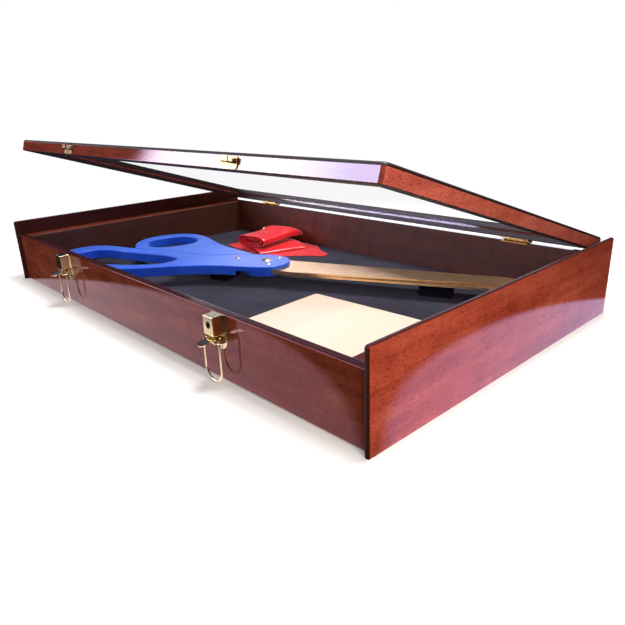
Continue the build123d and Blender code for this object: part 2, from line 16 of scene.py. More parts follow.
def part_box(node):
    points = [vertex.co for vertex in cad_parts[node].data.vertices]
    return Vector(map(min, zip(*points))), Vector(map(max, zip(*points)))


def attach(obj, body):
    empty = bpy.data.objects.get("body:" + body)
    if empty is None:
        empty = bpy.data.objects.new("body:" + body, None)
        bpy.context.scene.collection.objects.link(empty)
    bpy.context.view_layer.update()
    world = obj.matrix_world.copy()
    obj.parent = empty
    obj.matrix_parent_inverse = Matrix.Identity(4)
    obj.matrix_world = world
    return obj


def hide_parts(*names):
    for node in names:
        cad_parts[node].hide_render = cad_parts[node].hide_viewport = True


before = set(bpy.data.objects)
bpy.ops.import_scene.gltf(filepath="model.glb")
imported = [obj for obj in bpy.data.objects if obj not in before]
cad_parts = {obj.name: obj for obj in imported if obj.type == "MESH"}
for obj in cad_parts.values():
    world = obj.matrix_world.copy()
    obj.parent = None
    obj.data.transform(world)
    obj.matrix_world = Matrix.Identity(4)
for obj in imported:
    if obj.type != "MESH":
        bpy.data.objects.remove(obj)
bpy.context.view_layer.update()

# %% [markdown]
# ## Colours and nodes
# A material in Blender is a small network of nodes. Adding a node takes several
# lines, so one function adds it with its settings and its links. Colours are written
# as the hex values of a picture, which one function turns to the linear values that
# the nodes take. A light can be dimmer or brighter than its hue, so the function
# takes a strength too.


# %% Colours and nodes
def colour(code, strength=1.0):
    """A hex colour, such as #8f3323, as linear values with an alpha."""
    channels = [int(code[i:i + 2], 16) / 255 for i in (1, 3, 5)]
    linear = [c / 12.92 if c <= 0.04045 else ((c + 0.055) / 1.055) ** 2.4 for c in channels]
    return (*(strength * c for c in linear), 1.0)


# A Mix node has sockets for each kind of data, so its colour ones are called by number.
MIX_SHARE, MIX_FROM, MIX_TO, MIX_RESULT = 0, 6, 7, 2


def add_node(tree, kind, settings=None, links=None):
    """Add a node, give it its settings or input values, and link its inputs."""
    node = tree.nodes.new(kind)
    for name, value in (settings or {}).items():
        if name == "stops":
            ramp = node.color_ramp
            while len(ramp.elements) < len(value):
                ramp.elements.new(1.0)
            for element, (position, code) in zip(ramp.elements, value):
                element.position = position
                element.color = colour(code)
        elif isinstance(name, int) or name in node.inputs:
            node.inputs[name].default_value = value
        else:
            setattr(node, name, value)
    for name, source in (links or {}).items():
        tree.links.new(source, node.inputs[name])
    return node


print("mid mahogany in linear values:", [round(c, 3) for c in colour("#8f3323")])

# %% [markdown]
# ## What the finishes share
# No real surface is one flat colour. Each finish here starts from soft spots of a real
# size in millimetres, and lets its colour, its roughness and its height vary with
# them. The spots could come from pictures, but noise never repeats and needs no file.


# %% A material and its patterns
def new_finish(name, **values):
    """A material with a Principled surface, and the piece's own coordinates."""
    material = bpy.data.materials.new(name)
    material.use_nodes = True
    tree = material.node_tree
    tree.nodes.clear()
    surface = add_node(tree, "ShaderNodeBsdfPrincipled", values)
    add_node(tree, "ShaderNodeOutputMaterial", links={"Surface": surface.outputs["BSDF"]})
    place = add_node(tree, "ShaderNodeTexCoord").outputs["Object"]
    return material, tree, surface, place


def spots(tree, place, size_mm, turn=0.0, detail=2.0, seed=0.0):
    """Soft noise whose spots are about size_mm long along X, Y and Z."""
    per_metre = [1000 / size for size in size_mm]
    turned = add_node(tree, "ShaderNodeMapping", {"Rotation": (0, 0, radians(-turn))},
                      {"Vector": place})
    scaled = add_node(tree, "ShaderNodeMapping",
                      {"Scale": per_metre, "Location": (seed, seed, seed)},
                      {"Vector": turned.outputs["Vector"]})
    noise = add_node(tree, "ShaderNodeTexNoise",
                     {"Scale": 1.0, "Detail": detail, "Roughness": 0.55},
                     {"Vector": scaled.outputs["Vector"]})
    return noise.outputs["Fac"]


def vary_colour(tree, surface, stops, pattern, shade="#ffffff", grain=None):
    """Let the colour run through a few tones with a pattern, and shade it by a grain."""
    tones = add_node(tree, "ShaderNodeValToRGB", {"stops": stops}, {"Fac": pattern})
    shown = tones.outputs["Color"]
    if grain:
        shaded = {"data_type": "RGBA", "blend_type": "MULTIPLY", MIX_TO: colour(shade)}
        shown = add_node(tree, "ShaderNodeMix", shaded,
                         {MIX_SHARE: grain, MIX_FROM: shown}).outputs[MIX_RESULT]
    tree.links.new(shown, surface.inputs["Base Color"])


def vary_gloss(tree, surface, low, high, pattern):
    """Let the roughness run from low to high with a pattern."""
    rough = add_node(tree, "ShaderNodeMapRange", {"To Min": low, "To Max": high},
                     {"Value": pattern})
    tree.links.new(rough.outputs["Result"], surface.inputs["Roughness"])


def emboss(tree, surface, pattern, depth_mm, strength=0.5):
    """Raise the surface by a pattern, up to a real depth."""
    raised = add_node(tree, "ShaderNodeBump",
                      {"Strength": strength, "Distance": depth_mm / 1000}, {"Height": pattern})
    tree.links.new(raised.outputs["Normal"], surface.inputs["Normal"])


def dress(material, *names):
    """Give CAD nodes a finish."""
    for name in names:
        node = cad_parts[name]
        node.data.materials.clear()
        node.data.materials.append(material)


print("helpers ready for", len(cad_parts), "CAD nodes")

# %% [markdown]
# ## Lacquered mahogany
# The case and the lid are red-brown mahogany under a thick polished lacquer. The boards are given
# stain tones that carry painted light: the sides are painted brighter than the front, as if lit
# from the side, and the inside is painted browner and darker, as painted shade. Rims, the faces
# that look into the case and the lid's underside are painted darker still, as painted shade, and
# their lacquer is rougher. The front ends of the side panels are end grain, which takes more stain
# as well. They could have a material of their own on picked faces, but the mesh of a imported piece
# stays as it is. So a mask finds them by their place, from the distances to planes of the case.


# %% Masks by place
def distance_from(tree, place, letter, plane=0.0):
    """How far a point lies from a plane across X, Y or Z."""
    along = add_node(tree, "ShaderNodeSeparateXYZ", links={"Vector": place}).outputs[letter]
    moved = add_node(tree, "ShaderNodeMath", {"operation": "SUBTRACT", 1: plane}, {0: along})
    return add_node(tree, "ShaderNodeMath", {"operation": "ABSOLUTE"},
                    {0: moved.outputs[0]}).outputs[0]


def combine(tree, operation, first, *others):
    """Combine patterns into one, such as by MULTIPLY for all of them or MAXIMUM for any."""
    for other in others:
        first = add_node(tree, "ShaderNodeMath", {"operation": operation},
                         {0: first, 1: other}).outputs[0]
    return first


def find_shade_zone(tree, place, shade_zone):
    """A mask of the points that keep to all the limits of any part of a painted shade zone."""
    parts = []
    for limits in shade_zone:
        kept = []
        for letter, comparison, limit, *plane in limits:
            distance = distance_from(tree, place, letter, *plane)
            kept.append(add_node(tree, "ShaderNodeMath", {"operation": comparison, 1: limit},
                                 {0: distance}).outputs[0])
        parts.append(combine(tree, "MULTIPLY", *kept))
    return combine(tree, "MAXIMUM", *parts)


pin_low, pin_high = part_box("hinge_pin_left")
hinge_y, hinge_z = ((pin_low[i] + pin_high[i]) / 2 for i in (1, 2))
lid_open_angle = 17.3


def level_lid(tree, place):
    """A point of the lid, measured from the hinge line with the lid turned level."""
    from_hinge = add_node(tree, "ShaderNodeVectorMath",
                          {"operation": "SUBTRACT", 1: (0, hinge_y, hinge_z)}, {0: place})
    return add_node(tree, "ShaderNodeMapping", {"Rotation": (radians(lid_open_angle), 0, 0)},
                    {"Vector": from_hinge.outputs["Vector"]}).outputs["Vector"]


print("the hinge line is at y", round(hinge_y, 4), "and z", round(hinge_z, 4))

# %% Where painted shade darkens the wood
NEARER, FARTHER = "LESS_THAN", "GREATER_THAN"
skin = 0.0005           # how far a mask reaches past the face that it is for
panel_end_skin, panel_top_skin = 0.0014, 0.0010
rail_inside_x, rail_inside_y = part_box("side_rail_right")[0][0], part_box("back_rail")[0][1]
panel_low, panel_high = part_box("side_panel_right")
front_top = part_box("front_rail")[1][2]

# The lid is measured level, from its hinge line.
lid_underside, lid_topside, lid_round, lid_rail = 0.0015, 0.0170, 0.0030, 0.014
lid_half_width, lid_half_depth, lid_middle_y = 0.343, 0.2005, -0.203

# Painted shade: these masks pick the faces whose wood is painted darker. They are inside the case,
# the front rail's top, the side panels' inner faces and top edges, and the lid's underside, inner
# faces and top rounded edge. The side panels' front ends are end grain, which takes more stain, and
# are painted dark as shade too.
shaded_inside_case = [[("X", NEARER, rail_inside_x + skin), ("Y", NEARER, rail_inside_y + skin)]]
shaded_front_top_face = [[("Z", FARTHER, front_top - skin)]]
end_grain_and_shaded_panel_rims = [[("Y", FARTHER, panel_high[1] - panel_end_skin)],
              [("X", NEARER, panel_low[0] + skin)],
              [("Z", FARTHER, panel_high[2] - panel_top_skin)]]
shaded_lid_rims = [[("Z", NEARER, lid_underside + skin)],
            [("Z", FARTHER, lid_topside - lid_round), ("Z", NEARER, lid_topside - skin / 5)],
            [("X", NEARER, lid_half_width - lid_rail + skin),
             ("Y", NEARER, lid_half_depth - lid_rail + skin, lid_middle_y)]]
print("the side rails' inner faces are at x", round(rail_inside_x, 4))

# %% [markdown]
# ### The wood itself
# Mahogany has faint bands along its grain, a slow shimmer across it, short dark pores
# and a few darker specks. Real pores are 0.2 mm wide and would not show at this
# distance, so they are drawn 0.8 mm wide and 3 mm long. The lacquer could be a
# separate clear coat, but one smooth surface over the colour does the same, and its
# gloss can take the slight pink that the stain gives it.

# %% Lacquered mahogany
lacquer_roughness = 0.04


def mahogany(name, along, stain_and_light_tones, shade_zone, painted_shade_colour, shade_zone_roughness, gloss_tint="#ffffff",
             gloss_level=0.5, on_lid=False):
    """Wood with its grain along X or Y, in three tones that carry painted light, with a painted
    shade zone.
    """
    material, tree, surface, place = new_finish(
        name, Roughness=lacquer_roughness, IOR=1.5,
        **{"Specular Tint": colour(gloss_tint), "Specular IOR Level": gloss_level})
    turn = 0 if along == "X" else 90
    figure = spots(tree, place, (110, 14, 14), turn, 3.0)
    shimmer = spots(tree, place, (16, 38, 38), turn, 2.0, seed=3.0)
    pore = spots(tree, place, (3.2, 0.8, 0.8), turn, 1.0, seed=7.0)
    knots = spots(tree, place, (5.0, 2.2, 2.2), turn, 1.0, seed=11.0)

    dark, middle, light = stain_and_light_tones
    wood = add_node(tree, "ShaderNodeValToRGB",
                    {"stops": [(0.32, dark), (0.50, middle), (0.70, light)]}, {"Fac": figure})
    shimmer_share = add_node(tree, "ShaderNodeMapRange", {"To Max": 0.7}, {"Value": shimmer})
    shimmered = add_node(tree, "ShaderNodeMix",
                         {"data_type": "RGBA", "blend_type": "MULTIPLY", MIX_TO: colour("#b59c94")},
                         {MIX_SHARE: shimmer_share.outputs["Result"],
                          MIX_FROM: wood.outputs["Color"]})
    fleck = add_node(tree, "ShaderNodeMapRange", {"From Min": 0.55, "From Max": 0.68},
                     {"Value": pore})
    speck = add_node(tree, "ShaderNodeMapRange", {"From Min": 0.66, "From Max": 0.74},
                     {"Value": knots})
    marks = combine(tree, "MAXIMUM", fleck.outputs["Result"], speck.outputs["Result"])
    marks_share = add_node(tree, "ShaderNodeMapRange", {"To Max": 0.5}, {"Value": marks})
    marked = add_node(tree, "ShaderNodeMix", {"data_type": "RGBA", MIX_TO: colour("#2a0d09")},
                      {MIX_SHARE: marks_share.outputs["Result"],
                       MIX_FROM: shimmered.outputs[MIX_RESULT]})

    # Painted shade: on the masked faces the wood gives way to a dark stain, mottled by shimmer and
    # figure, under a rougher lacquer.
    shade_mask = find_shade_zone(tree, level_lid(tree, place) if on_lid else place, shade_zone)
    shade_mottling = add_node(tree, "ShaderNodeMapRange", {"To Max": 1.6},
                      {"Value": combine(tree, "MULTIPLY", shimmer, figure)})
    painted_shade = add_node(tree, "ShaderNodeMix", {"data_type": "RGBA", MIX_FROM: colour(painted_shade_colour),
                                               MIX_TO: colour("#2a120c")},
                       {MIX_SHARE: shade_mottling.outputs["Result"]})
    tint = add_node(tree, "ShaderNodeMix", {"data_type": "RGBA"},
                    {MIX_SHARE: shade_mask, MIX_FROM: marked.outputs[MIX_RESULT],
                     MIX_TO: painted_shade.outputs[MIX_RESULT]})
    tree.links.new(tint.outputs[MIX_RESULT], surface.inputs["Base Color"])
    vary_gloss(tree, surface, lacquer_roughness, shade_zone_roughness, shade_mask)
    emboss(tree, surface, pore, 0.03, 0.4)
    return material


print("lacquer roughness", lacquer_roughness)

# %% The boards
# Painted light: the side boards get brighter tones, and the front, the inside and the lid's front
# get darker ones, as lit and shaded copies of one mahogany.
sides_painted_lighter = ("#ac4832", "#c0553e", "#d0654b")
case_painted_darker = ("#703323", "#843f2c", "#964d37")
lid_front_painted_darker = ("#83382a", "#9a4635", "#ab513e")
lid_sides_painted_lighter = ("#bd5a48", "#cd6754", "#dc7761")
side_wood = mahogany("lacquered_mahogany_sides", "Y", sides_painted_lighter, end_grain_and_shaded_panel_rims,
                     "#3c1e12", 0.5, gloss_tint="#ff9cc0")
front_wood = mahogany("lacquered_mahogany_front", "X", case_painted_darker, shaded_front_top_face,
                      "#4a2426", 0.12, gloss_tint="#f49abc")
back_wood = mahogany("lacquered_mahogany_back", "X", case_painted_darker, shaded_inside_case, "#6c3724", 0.6)
wall_wood = mahogany("lacquered_mahogany_side_rails", "Y", case_painted_darker, shaded_inside_case,
                     "#4e2616", 0.6)
lid_long_wood = mahogany("lacquered_mahogany_lid_front", "X", lid_front_painted_darker, shaded_lid_rims,
                         "#1c0d0c", 0.6, gloss_level=0.9, on_lid=True)
lid_side_wood = mahogany("lacquered_mahogany_lid_sides", "Y", lid_sides_painted_lighter, shaded_lid_rims,
                         "#1c0d0c", 0.6, on_lid=True)
dress(side_wood, "side_panel_left", "side_panel_right")
dress(front_wood, "front_rail")
dress(back_wood, "back_rail")
dress(wall_wood, "side_rail_left", "side_rail_right")
dress(lid_long_wood, "lid_front_rail", "lid_back_rail")
dress(lid_side_wood, "lid_side_rail_left", "lid_side_rail_right")
print("six mahogany finishes")

# %% [markdown]
# ## Base board, lining and pads
# The base is a plain painted board that shows only from below. The lining is charcoal felt: it has
# no gloss, a short nap that catches the light at a flat angle, and soft patches where the nap lies
# another way. The two pads that carry the scissors are felt painted near black, as painted shadow,
# so that they pass for the shadow under the blades. Hair could draw the nap strand by strand, but
# it is too short to be seen so. Its clumps are drawn about 1 mm long instead.

# %% Painted board and felt
base_paint, tree, surface, place = new_finish("painted_base_board", Roughness=0.6)
vary_colour(tree, surface, [(0.35, "#2c1712"), (0.65, "#3a2019")],
            spots(tree, place, (40, 40, 40)))
emboss(tree, surface, spots(tree, place, (1.5, 1.5, 1.5)), 0.05, 1.0)
dress(base_paint, "base_board")

nap_clump_mm, nap_turn, nap_depth_mm, nap_strength = (1.4, 1.0, 1.0), 30, 0.25, 0.7
felt, tree, surface, place = new_finish(
    "charcoal_felt", Roughness=0.9,
    **{"Sheen Weight": 0.22, "Sheen Roughness": 0.5, "Sheen Tint": colour("#b7b4d8"),
       "Specular IOR Level": 0.2})
nap = spots(tree, place, nap_clump_mm, nap_turn, 3.0)
patches = spots(tree, place, (70, 45, 45), 15, 2.0, seed=2.0)
vary_colour(tree, surface, [(0.30, "#1f1e28"), (0.50, "#292834"), (0.72, "#353344")],
            patches, shade="#b8b8b8", grain=nap)
emboss(tree, surface, nap, nap_depth_mm, nap_strength)
dress(felt, "lining")

shadow_black_felt, tree, surface, place = new_finish(
    "pads_painted_shadow_black", Roughness=0.95, **{"Specular IOR Level": 0.1})
nap = spots(tree, place, nap_clump_mm, nap_turn, 3.0)
# Painted shadow: the pads are coloured near black so that they pass for the shadow under the
# blades.
vary_colour(tree, surface, [(0.3, "#111116"), (0.7, "#1e1d26")], nap)
emboss(tree, surface, nap, nap_depth_mm, nap_strength)
dress(shadow_black_felt, "handle_support", "blade_support")
print("board and felts done")

# %% [markdown]
# ## Glass
# The pane is clear float glass. A path tracer can refract it, but a pane this thin
# shifts nothing that can be seen, and refraction would make the inside noisy. So the
# pane is mostly see-through by its alpha and keeps a faint smooth gloss.

# %% Glass
glass, tree, surface, place = new_finish(
    "clear_float_glass", Roughness=0.03, IOR=1.5, Alpha=0.04)
vary_colour(tree, surface, [(0.4, "#e9f0ee"), (0.6, "#f6faf9")],
            spots(tree, place, (60, 60, 60)))
dress(glass, "lid_pane")
print("glass alpha", surface.inputs["Alpha"].default_value)

# %% [markdown]
# ## Metals
# The latches are pressed steel with a pale gold plating, polished bright. The strikes on the lid
# are plated too, with a darker satin face, and the lock plugs are steel painted dark, as painted
# shade that stands for the dark hollow of the keyhole. The hinges are drawn brass. The blades are
# plated in a redder gold and brushed along their length, and their pivot, their rivets and the
# ribbon's bead are satin gold. One function serves all the metals: the tone changes in clouds of
# about 14 mm, and the gloss with fine marks. The marks are drawn about 1 mm wide so that they show
# at all.


# %% Metals
def metal(name, dark, light, roughness, grain_mm, turn=0.0, depth_mm=0.004, spread=(0.75, 1.3)):
    """Polished or brushed metal whose colour and gloss vary a little."""
    material, tree, surface, place = new_finish(name, Metallic=1.0)
    marks = spots(tree, place, grain_mm, turn, 3.0)
    clouds = spots(tree, place, (14, 14, 14), 0, 2.0, seed=5.0)
    vary_colour(tree, surface, [(0.35, dark), (0.65, light)], clouds)
    least, most = spread
    vary_gloss(tree, surface, roughness * least, roughness * most, marks)
    emboss(tree, surface, marks, depth_mm)
    return material


blade_angle = 22.3      # from the long side of the case to the scissors' long axis
latch_gold = metal("pale_gold_plated_steel", "#ecd79c", "#fbecc4", 0.17, (1.2, 1.2, 1.2))
strike_gold = metal("satin_gold_strikes", "#86724a", "#ac996c", 0.24, (1.2, 1.2, 1.2))
# Painted shade: the plugs are coloured nearly black so that they read as the dark hollow of the
# keyhole.
keyhole_shade_steel = metal("plug_steel_painted_dark", "#1c1812", "#3a3226", 0.35, (1.0, 1.0, 1.0))
brass = metal("drawn_brass", "#b8904c", "#dcb873", 0.26, (8, 0.8, 0.8))
blade_gold = metal("brushed_gold_plate", "#efc08a", "#f8d2a2", 0.31, (60, 0.8, 0.8),
                   turn=blade_angle, depth_mm=0.0005, spread=(0.93, 1.07))
pin_gold = metal("satin_gold_rivets", "#efcf8c", "#fbe6b8", 0.30, (1, 1, 1))
print("six metal finishes")

# %% Metal pieces
latch_nodes = ["latch_screws"]
for side in ("left", "right"):
    latch_nodes += [f"latch_plate_{side}", f"lock_box_{side}", f"latch_lever_{side}",
                    f"lever_pin_{side}", f"bail_pin_{side}", f"bail_{side}"]
    dress(keyhole_shade_steel, f"lock_plug_{side}")
    dress(brass, f"case_hinge_leaf_{side}", f"lid_hinge_leaf_{side}", f"hinge_pin_{side}")
dress(latch_gold, *latch_nodes)
dress(strike_gold, "strike_left", "strike_right", "strike_screws")
dress(brass, "case_hinge_screws", "lid_hinge_screws")
dress(blade_gold, "scissors_upper_blade", "scissors_lower_blade")
dress(pin_gold, "ribbon_bead", "scissors_pivot_screw", "scissors_pivot_nut",
      "scissors_upper_rivets", "scissors_lower_rivets")
print("metals on", len(latch_nodes), "latch nodes, two hinges and the scissors")

# %% [markdown]
# ## Moulded handles
# The handles are injection-moulded ABS in a strong blue. The mould leaves a very fine
# satin texture, which gives a soft highlight. Roughness alone would soften it, but a
# shallow grit also breaks up its edge, so the texture has a height too. Real grit is
# about 0.1 mm wide, and is drawn 0.8 mm wide so that it shows.

# %% Handles
plastic, tree, surface, place = new_finish(
    "moulded_blue_abs", Roughness=0.34, IOR=1.53,
    **{"Sheen Weight": 1.0, "Sheen Roughness": 0.28, "Sheen Tint": colour("#a6dcff")})
vary_colour(tree, surface, [(0.35, "#194bd2"), (0.65, "#2259e2")],
            spots(tree, place, (50, 50, 50)))
grit = spots(tree, place, (0.8, 0.8, 0.8), 0, 2.0, seed=1.0)
vary_gloss(tree, surface, 0.28, 0.42, grit)
emboss(tree, surface, grit, 0.01)
dress(plastic, "scissors_finger_handle", "scissors_thumb_handle")
print("handles done")

# %% [markdown]
# ## Bare presentation plate
# The plate is sheet metal with a cream powder coat. Its colour is almost even, a
# little pinker towards one end, over the faint orange peel that the powder leaves. A
# flat colour alone would look like paper.

# %% Plate
cream, tree, surface, place = new_finish("cream_powder_coat", Roughness=0.42, IOR=1.5)
plate_low, plate_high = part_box("presentation_plate")
pinker_length = 0.09
across = add_node(tree, "ShaderNodeSeparateXYZ", links={"Vector": place}).outputs["X"]
along_plate = add_node(tree, "ShaderNodeMapRange",
                       {"From Min": plate_low[0], "From Max": plate_low[0] + pinker_length},
                       {"Value": across}).outputs["Result"]
peel = spots(tree, place, (1.6, 1.6, 1.6), 0, 2.0)
vary_colour(tree, surface, [(0.0, "#e6d0be"), (0.7, "#ead6c4"), (0.8, "#ecdcc9")],
            along_plate, shade="#f4f0ec", grain=peel)
emboss(tree, surface, peel, 0.02, 0.4)
dress(cream, "presentation_plate")
print("plate from x", round(plate_low[0], 4), "to", round(plate_high[0], 4))

# %% [markdown]
# ## Satin ribbon
# A wide red satin ribbon, rolled flat, lies on a folded leaf and on its own tail.
# Satin is woven so that it shines more along one thread direction, which Blender's
# anisotropy gives. Real threads are too fine to show, so they are drawn 0.8 mm apart.

# %% Satin
satin, tree, surface, place = new_finish(
    "red_satin", Roughness=0.3, IOR=1.64, Anisotropic=0.5,
    **{"Specular IOR Level": 1.0, "Sheen Weight": 1.0, "Sheen Roughness": 0.30,
       "Sheen Tint": colour("#ffa0a8")})
# The UV map is in metres. A wave texture has a band every 2 pi / 20 units, so 390
# units to a metre set the threads 0.8 mm apart. The slubs are 33 mm by 3 mm.
uv = add_node(tree, "ShaderNodeUVMap", {"uv_map": "cloth"}).outputs["UV"]
thread_place = add_node(tree, "ShaderNodeMapping", {"Scale": (390, 60, 1)}, {"Vector": uv})
threads = add_node(tree, "ShaderNodeTexWave", {"Scale": 1.0, "Distortion": 0.6, "Detail": 1.0},
                   {"Vector": thread_place.outputs["Vector"]}).outputs["Fac"]
slub_place = add_node(tree, "ShaderNodeMapping", {"Scale": (30, 300, 1)}, {"Vector": uv})
slubs = add_node(tree, "ShaderNodeTexNoise", {"Scale": 1.0, "Detail": 2.0},
                 {"Vector": slub_place.outputs["Vector"]}).outputs["Fac"]
vary_colour(tree, surface, [(0.30, "#e81c28"), (0.55, "#f62e38"), (0.75, "#fc4a52")], slubs)
vary_gloss(tree, surface, 0.20, 0.32, threads)
emboss(tree, surface, threads, 0.03, 0.4)
print("satin ready")

# %% [markdown]
# ### Bending a strip
# Cloth simulation would let the ribbon slump, but the real one holds the shape that
# it was pressed to. So each part is a flat grid, bent along a path by moving its
# points, then thickened. The grid keeps its UV map, so the weave follows the cloth.

# %% Pieces and strips
cloth_thickness = 0.0004


def new_piece(name, shape, material):
    """Turn a bmesh into an object of the scene, with one finish."""
    mesh = bpy.data.meshes.new(name)
    shape.to_mesh(mesh)
    shape.free()
    mesh.materials.append(material)
    piece = bpy.data.objects.new(name, mesh)
    bpy.context.scene.collection.objects.link(piece)
    return piece


def ribbon_strip(name, width, length, bend, across=24, along=96):
    """A grid of cloth; bend(s, t) places the point s along and t across it, in metres."""
    shape = bmesh.new()
    uv_layer = shape.loops.layers.uv.new("cloth")
    bmesh.ops.create_grid(shape, x_segments=across, y_segments=along, size=0.5)
    for face in shape.faces:
        for loop in face.loops:
            corner = loop.vert.co
            loop[uv_layer].uv = ((corner.x + 0.5) * width, (corner.y + 0.5) * length)
    for vert in shape.verts:
        vert.co = Vector(bend((vert.co.y + 0.5) * length, vert.co.x * width))
    bmesh.ops.recalc_face_normals(shape, faces=shape.faces)
    piece = new_piece(name, shape, satin)
    piece.data.shade_smooth()
    thick = piece.modifiers.new("cloth_thickness", "SOLIDIFY")
    thick.thickness = cloth_thickness
    thick.offset = 0.0
    area = sum(face.area for face in piece.data.polygons)
    print(name, "is", round(width * 1000), "by", round(length * 1000), "mm flat, its area",
          round(area * 1e4, 1), "square cm")
    return piece


def placed(point, centre, turn, bottom):
    """Turn a point about the vertical, and set it down at a centre and a height."""
    x, y, z = point
    a = radians(turn)
    return centre[0] + x * cos(a) - y * sin(a), centre[1] + x * sin(a) + y * cos(a), bottom + z


print("the cloth is", cloth_thickness * 1000, "mm thick")

# %% [markdown]
# ### The roll
# Seen from its end, the roll is a flattened spiral of nearly three turns. Its path is
# a squared-off ellipse that grows with each turn, walked in small steps so that the
# cloth keeps its length.

# %% The roll's path
roll_low, roll_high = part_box("ribbon_roll")
roll_centre = ((roll_low[0] + roll_high[0]) / 2, (roll_low[1] + roll_high[1]) / 2)
roll_half_height = (roll_high[2] - roll_low[2]) / 2
roll_half_width, roll_length, roll_turns = 0.031, 0.096, 2.6
core_width, width_growth = 0.42, 0.58       # as shares of the roll's half width
core_height, height_growth = 0.22, 0.74     # as shares of its half height
path_start, squareness = 0.6, 0.72


def spiral_point(angle):
    """A point of the flattened spiral; the outer end of the cloth is at the last angle."""
    grown = angle / (2 * pi * roll_turns)
    half_width = roll_half_width * (core_width + width_growth * grown)
    half_height = roll_half_height * (core_height + height_growth * grown)
    c, s = cos(angle + path_start), sin(angle + path_start)
    x = half_width * copysign(abs(c) ** squareness, c)
    z = half_height * copysign(abs(s) ** squareness, s)
    return x, z


steps = 600
spiral = [spiral_point(2 * pi * roll_turns * i / steps) for i in range(steps + 1)]
walked = [0.0]
for (x0, z0), (x1, z1) in zip(spiral, spiral[1:]):
    walked.append(walked[-1] + ((x1 - x0) ** 2 + (z1 - z0) ** 2) ** 0.5)
roll_cloth = walked[-1]


def on_spiral(distance):
    """The place on the spiral at a distance along the cloth."""
    for i in range(steps):
        if walked[i + 1] >= distance:
            share = (distance - walked[i]) / max(walked[i + 1] - walked[i], 1e-9)
            (x0, z0), (x1, z1) = spiral[i], spiral[i + 1]
            return x0 + (x1 - x0) * share, z0 + (z1 - z0) * share
    return spiral[-1]


print("the roll takes", round(roll_cloth * 1000, 1), "mm of ribbon")

# %% [markdown]
# ### How the roll sags
# Pressed by hand, the roll isn't even along its length. It has a crest past its
# middle, sags towards the end behind the crest, and is lower on one side. The pin of
# the bead presses a shallow dimple round itself. Waves 9 to 16 cm long, or 70 to 40
# radians per metre, keep the layers from lying like a stack of sheets.

# %% Ribbon roll
roll_turn = 8.0
fullness, far_end_sag, side_sag = 1.02, 0.55, 0.07      # as shares of the height
crest_height, crest_place, crest_length = 0.16, 0.45, 0.30
dimple_depth, dimple_radius = 0.06, 0.010
end_flare, layer_swell, layer_wave, edge_wave = 0.05, 0.05, 0.0006, 0.002

bead_low, bead_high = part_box("ribbon_bead")
bead_x, bead_y = ((bead_low[i] + bead_high[i]) / 2 - roll_centre[i] for i in (0, 1))
turned = radians(roll_turn)
bead_across = bead_x * cos(turned) + bead_y * sin(turned)
bead_along = bead_y * cos(turned) - bead_x * sin(turned)


def roll_bend(s, t):
    """Place a point of the roll, with its crest, its sag and the bead's dimple."""
    x, z = on_spiral(s)
    near_bead = ((x - bead_across) ** 2 + (t - bead_along) ** 2) / dimple_radius ** 2
    end = t / (roll_length / 2)
    x *= 1 + end_flare * end
    z = z * (1 + layer_swell * sin(5 * x / roll_half_width)) + layer_wave * sin(40 * t + 60 * x)
    crest = crest_height * exp(-((end - crest_place) / crest_length) ** 2)
    sag = fullness + crest - far_end_sag * max(end - crest_place, 0.0) ** 2
    slump = sag * (1 - side_sag * x / roll_half_width)
    dimple = 1 - dimple_depth / (1 + near_bead) ** 2
    height = max((roll_half_height + z) * slump * dimple, cloth_thickness)
    return placed((x, t + edge_wave * sin(70 * x), height), roll_centre, roll_turn, roll_low[2])


roll = ribbon_strip("ribbon_roll_cloth", roll_length, roll_cloth, roll_bend, across=16, along=220)
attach(roll, "ribbon")
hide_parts("ribbon_roll")

# %% [markdown]
# ### The leaf
# The leaf is the ribbon folded over on itself, a flat loop with a soft bend at each
# long edge. Its path runs out along the lower layer and back along the upper one,
# which is lifted between the bends.

# %% Ribbon leaf
leaf_low, leaf_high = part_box("ribbon_fold")
leaf_centre = ((leaf_low[0] + leaf_high[0]) / 2, (leaf_low[1] + leaf_high[1]) / 2)
leaf_half_width, leaf_length, leaf_bend_thickness = 0.0415, 0.083, 0.004
leaf_cloth = 4 * leaf_half_width + pi * leaf_bend_thickness
leaf_turn, leaf_taper, leaf_skew = -22.0, 0.10, 0.10
leaf_edge_roundness, leaf_wave, leaf_lowest = 0.35, 0.0004, 0.0003


def leaf_bend(s, t):
    """Place a point of the leaf on its lower or its upper layer."""
    share = s / leaf_cloth
    lower = share < 0.5
    run = (share * 2) if lower else (2 - share * 2)
    x = -leaf_half_width + 2 * leaf_half_width * run
    rounded = sin(pi * min(max(run, 0.0), 1.0)) ** leaf_edge_roundness
    gap = (leaf_high[2] - leaf_low[2] - 2 * cloth_thickness) * rounded
    lift = cloth_thickness if lower else cloth_thickness + gap
    z = lift + leaf_wave * sin(90 * t + 20 * x)
    taper = 1 - leaf_taper * (t / (leaf_length / 2) + 1) / 2
    point = (x * taper, t + leaf_skew * x, max(z, leaf_lowest))
    return placed(point, leaf_centre, leaf_turn, leaf_low[2])


leaf = ribbon_strip("ribbon_leaf_cloth", leaf_length, leaf_cloth, leaf_bend, across=20, along=120)
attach(leaf, "ribbon")
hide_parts("ribbon_fold")

# %% [markdown]
# ### The tail
# The tail lies flat on the felt. It swells to its full width, then narrows towards
# its far end, with slow waves that lift it a little off the felt.

# %% Ribbon tail
tail_low, tail_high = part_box("ribbon_tail")
tail_length = tail_high[0] - tail_low[0]
tail_depth = tail_high[1] - tail_low[1]
tail_width = 0.100
start_width, swell, swell_pace = 0.62, 0.38, 1.15       # as shares of the full width
point_start, point_length, point_taper = 0.72, 0.28, 0.75
middle_start, middle_drift = 0.42, 0.20                 # as shares of the depth
tail_lowest, tail_wave = 0.0003, 0.0004


